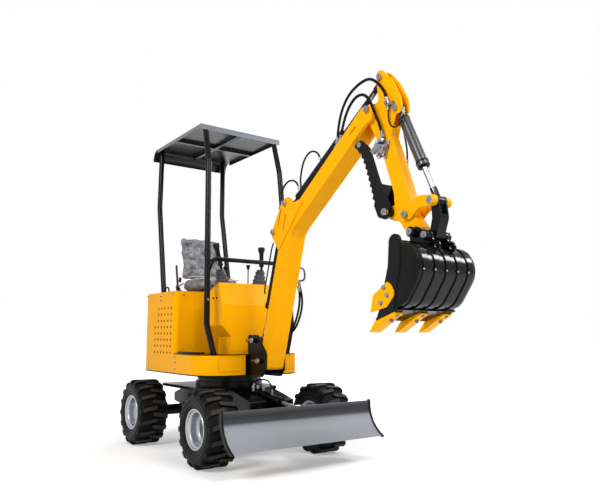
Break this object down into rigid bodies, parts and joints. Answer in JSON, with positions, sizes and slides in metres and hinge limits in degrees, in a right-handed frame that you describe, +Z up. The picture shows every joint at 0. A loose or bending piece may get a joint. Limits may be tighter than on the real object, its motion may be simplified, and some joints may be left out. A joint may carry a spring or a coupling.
{
  "type": "wheeled mini excavator",
  "caption": "Compact wheeled excavator: slewing house with seat and canopy, boom, arm, toothed bucket and thumb, steered lugged wheels and a front dozer blade.",
  "frame": {"origin": "ground level under the centre of the machine's box as it is parked; the slewing axis stands 0.65 m behind it", "axes": "+X forward out of the cab toward the blade, +Y to the operator's left, +Z up"},
  "size_m": [2.7823, 1.09, 2.263],
  "materials": {
    "yellow_paint": "glossy",
    "black_paint": "satin",
    "grey_paint": "satin",
    "rim_silver": "satin",
    "chrome": "polished",
    "tyre": "matte",
    "seat_vinyl": "matte",
    "black_rubber": "matte",
    "cast_iron": "matte"
  },
  "bodies": {
    "chassis": {"chassis_frame": "black_paint", "slewing_ring": "black_paint", "front_axle": "black_paint", "rear_axle": "black_paint"},
    "knuckle_left": {"knuckle_left": "black_paint"},
    "knuckle_right": {"knuckle_right": "black_paint"},
    "tie_rod": {"tie_rod": "black_paint"},
    "blade": {"blade": "grey_paint"},
    "upper": {"turntable": "black_paint", "skirt": "yellow_paint", "floor_plate": "black_paint", "hood_right": "yellow_paint", "hood_left": "yellow_paint", "hood_rear": "yellow_paint", "hood_front": "yellow_paint", "hood_top": "yellow_paint", "engine_block": "cast_iron", "console": "yellow_paint", "boom_bracket": "black_paint", "seat_base": "black_paint", "seat_cushion": "seat_vinyl", "seat_back": "seat_vinyl", "control_levers": "black_rubber", "front_posts": "black_paint", "rear_posts": "black_paint", "canopy_roof": "black_paint", "handrail": "black_paint"},
    "boom": {"boom": "yellow_paint"},
    "arm": {"arm": "yellow_paint"},
    "rocker": {"rocker": "yellow_paint"},
    "bucket_link": {"bucket_link": "black_paint"},
    "bucket": {"bucket": "black_paint", "bucket_teeth": "yellow_paint"},
    "thumb": {"thumb": "black_paint"},
    "wheel_front_left": {"tyre_front_left": "tyre", "rim_front_left": "rim_silver"},
    "wheel_front_right": {"tyre_front_right": "tyre", "rim_front_right": "rim_silver"},
    "wheel_rear_left": {"tyre_rear_left": "tyre", "rim_rear_left": "rim_silver"},
    "wheel_rear_right": {"tyre_rear_right": "tyre", "rim_rear_right": "rim_silver"},
    "blade_cylinder_barrel": {"blade_cylinder_barrel": "black_paint"},
    "blade_cylinder_rod": {"blade_cylinder_rod": "chrome"},
    "boom_cylinder_barrel": {"boom_cylinder_barrel": "black_paint"},
    "boom_cylinder_rod": {"boom_cylinder_rod": "chrome"},
    "arm_cylinder_barrel": {"arm_cylinder_barrel": "black_paint"},
    "arm_cylinder_rod": {"arm_cylinder_rod": "chrome"},
    "bucket_cylinder_barrel": {"bucket_cylinder_barrel": "black_paint"},
    "bucket_cylinder_rod": {"bucket_cylinder_rod": "chrome"}
  },
  "joints": [
    {"name": "slew", "type": "hinge", "parent": "chassis", "child": "upper", "pos_m": [-0.65, 0, 0.5], "axis": [0, 0, 1], "continuous": true},
    {"name": "steer_left", "type": "hinge", "parent": "chassis", "child": "knuckle_left", "pos_m": [-0.135, 0.272, 0.2286], "axis": [0, 0, 1], "range_deg": [-30, 30]},
    {"name": "wheel_spin_front_left", "type": "hinge", "parent": "knuckle_left", "child": "wheel_front_left", "pos_m": [-0.135, 0.4255, 0.2286], "axis": [0, 1, 0], "continuous": true},
    {"name": "wheel_spin_rear_left", "type": "hinge", "parent": "chassis", "child": "wheel_rear_left", "pos_m": [-1.165, 0.4255, 0.2286], "axis": [0, 1, 0], "continuous": true},
    {"name": "steer_right", "type": "hinge", "parent": "chassis", "child": "knuckle_right", "pos_m": [-0.135, -0.272, 0.2286], "axis": [0, 0, 1], "range_deg": [-30, 30]},
    {"name": "wheel_spin_front_right", "type": "hinge", "parent": "knuckle_right", "child": "wheel_front_right", "pos_m": [-0.135, -0.4255, 0.2286], "axis": [0, 1, 0], "continuous": true},
    {"name": "wheel_spin_rear_right", "type": "hinge", "parent": "chassis", "child": "wheel_rear_right", "pos_m": [-1.165, -0.4255, 0.2286], "axis": [0, 1, 0], "continuous": true},
    {"name": "tie_rod_swing", "type": "hinge", "parent": "knuckle_left", "child": "tie_rod", "pos_m": [-0.24, 0.272, 0.2286], "axis": [0, 0, 1], "range_deg": [-31, 31]},
    {"name": "blade_lift", "type": "hinge", "parent": "chassis", "child": "blade", "pos_m": [-0.05, 0, 0.285], "axis": [0, 1, 0], "range_deg": [-6, 25]},
    {"name": "boom_swing", "type": "hinge", "parent": "upper", "child": "boom", "pos_m": [-0.115, 0, 0.618], "axis": [0, 1, 0], "range_deg": [-12, 65]},
    {"name": "arm_swing", "type": "hinge", "parent": "boom", "child": "arm", "pos_m": [0.912, 0, 1.982], "axis": [0, 1, 0], "range_deg": [-80, 2]},
    {"name": "bucket_curl", "type": "hinge", "parent": "arm", "child": "bucket", "pos_m": [1.224, 0, 1.273], "axis": [0, 1, 0], "range_deg": [-60, 35]},
    {"name": "thumb_swing", "type": "hinge", "parent": "arm", "child": "thumb", "pos_m": [1.03, 0, 1.404], "axis": [0, 1, 0], "range_deg": [-140, 0]},
    {"name": "blade_cylinder_barrel_swing", "type": "hinge", "parent": "chassis", "child": "blade_cylinder_barrel", "pos_m": [-0.25, 0, 0.412], "axis": [0, 1, 0], "range_deg": [-4.02, 13.57]},
    {"name": "blade_cylinder_rod_slide", "type": "slide", "parent": "blade_cylinder_barrel", "child": "blade_cylinder_rod", "axis": [0.9865, 0, -0.164], "range_m": [-0.0096, 0.0335]},
    {"name": "boom_cylinder_barrel_swing", "type": "hinge", "parent": "boom", "child": "boom_cylinder_barrel", "pos_m": [0.022, 0, 1.436], "axis": [0, 1, 0], "range_deg": [-1.56, 4.03]},
    {"name": "boom_cylinder_rod_slide", "type": "slide", "parent": "boom_cylinder_barrel", "child": "boom_cylinder_rod", "axis": [-0.2915, 0, -0.9566], "range_m": [-0.0295, 0.1512]},
    {"name": "arm_cylinder_barrel_swing", "type": "hinge", "parent": "boom", "child": "arm_cylinder_barrel", "pos_m": [0.153, 0, 1.6], "axis": [0, 1, 0], "range_deg": [-8, 1.17]},
    {"name": "arm_cylinder_rod_slide", "type": "slide", "parent": "arm_cylinder_barrel", "child": "arm_cylinder_rod", "axis": [0.8371, 0, 0.547], "range_m": [-0.2145, 0.0073]},
    {"name": "bucket_cylinder_barrel_swing", "type": "hinge", "parent": "arm", "child": "bucket_cylinder_barrel", "pos_m": [1.095, 0, 1.942], "axis": [0, 1, 0], "range_deg": [-1.8, 1.47]},
    {"name": "bucket_cylinder_rod_slide", "type": "slide", "parent": "bucket_cylinder_barrel", "child": "bucket_cylinder_rod", "axis": [0.4133, 0, -0.9106], "range_m": [-0.1057, 0.0625]},
    {"name": "rocker_swing", "type": "hinge", "parent": "arm", "child": "rocker", "pos_m": [1.162, 0, 1.37], "axis": [0, 1, 0], "range_deg": [-34.87, 20.76]},
    {"name": "link_swing", "type": "hinge", "parent": "rocker", "child": "bucket_link", "pos_m": [1.336, 0, 1.411], "axis": [0, 1, 0], "range_deg": [-16.4, 9.98]}
  ],
  "couplings": [
    {"joint": "steer_right", "follows": "steer_left", "ratio": 1},
    {"joint": "tie_rod_swing", "follows": "steer_left", "ratio": -1},
    {"joint": "blade_cylinder_barrel_swing", "follows": "blade_lift", "ratio": 0.5029},
    {"joint": "blade_cylinder_rod_slide", "follows": "blade_lift", "m_per_rad": 0.072204},
    {"joint": "boom_cylinder_barrel_swing", "follows": "boom_swing", "ratio": 0.04664},
    {"joint": "boom_cylinder_rod_slide", "follows": "boom_swing", "m_per_rad": 0.13153},
    {"joint": "arm_cylinder_barrel_swing", "follows": "arm_swing", "ratio": 0.08749},
    {"joint": "arm_cylinder_rod_slide", "follows": "arm_swing", "m_per_rad": 0.15216},
    {"joint": "bucket_cylinder_barrel_swing", "follows": "bucket_curl", "ratio": 0.01333},
    {"joint": "bucket_cylinder_rod_slide", "follows": "bucket_curl", "m_per_rad": 0.09902},
    {"joint": "rocker_swing", "follows": "bucket_curl", "ratio": 0.56443},
    {"joint": "link_swing", "follows": "bucket_curl", "ratio": 0.25665}
  ]
}
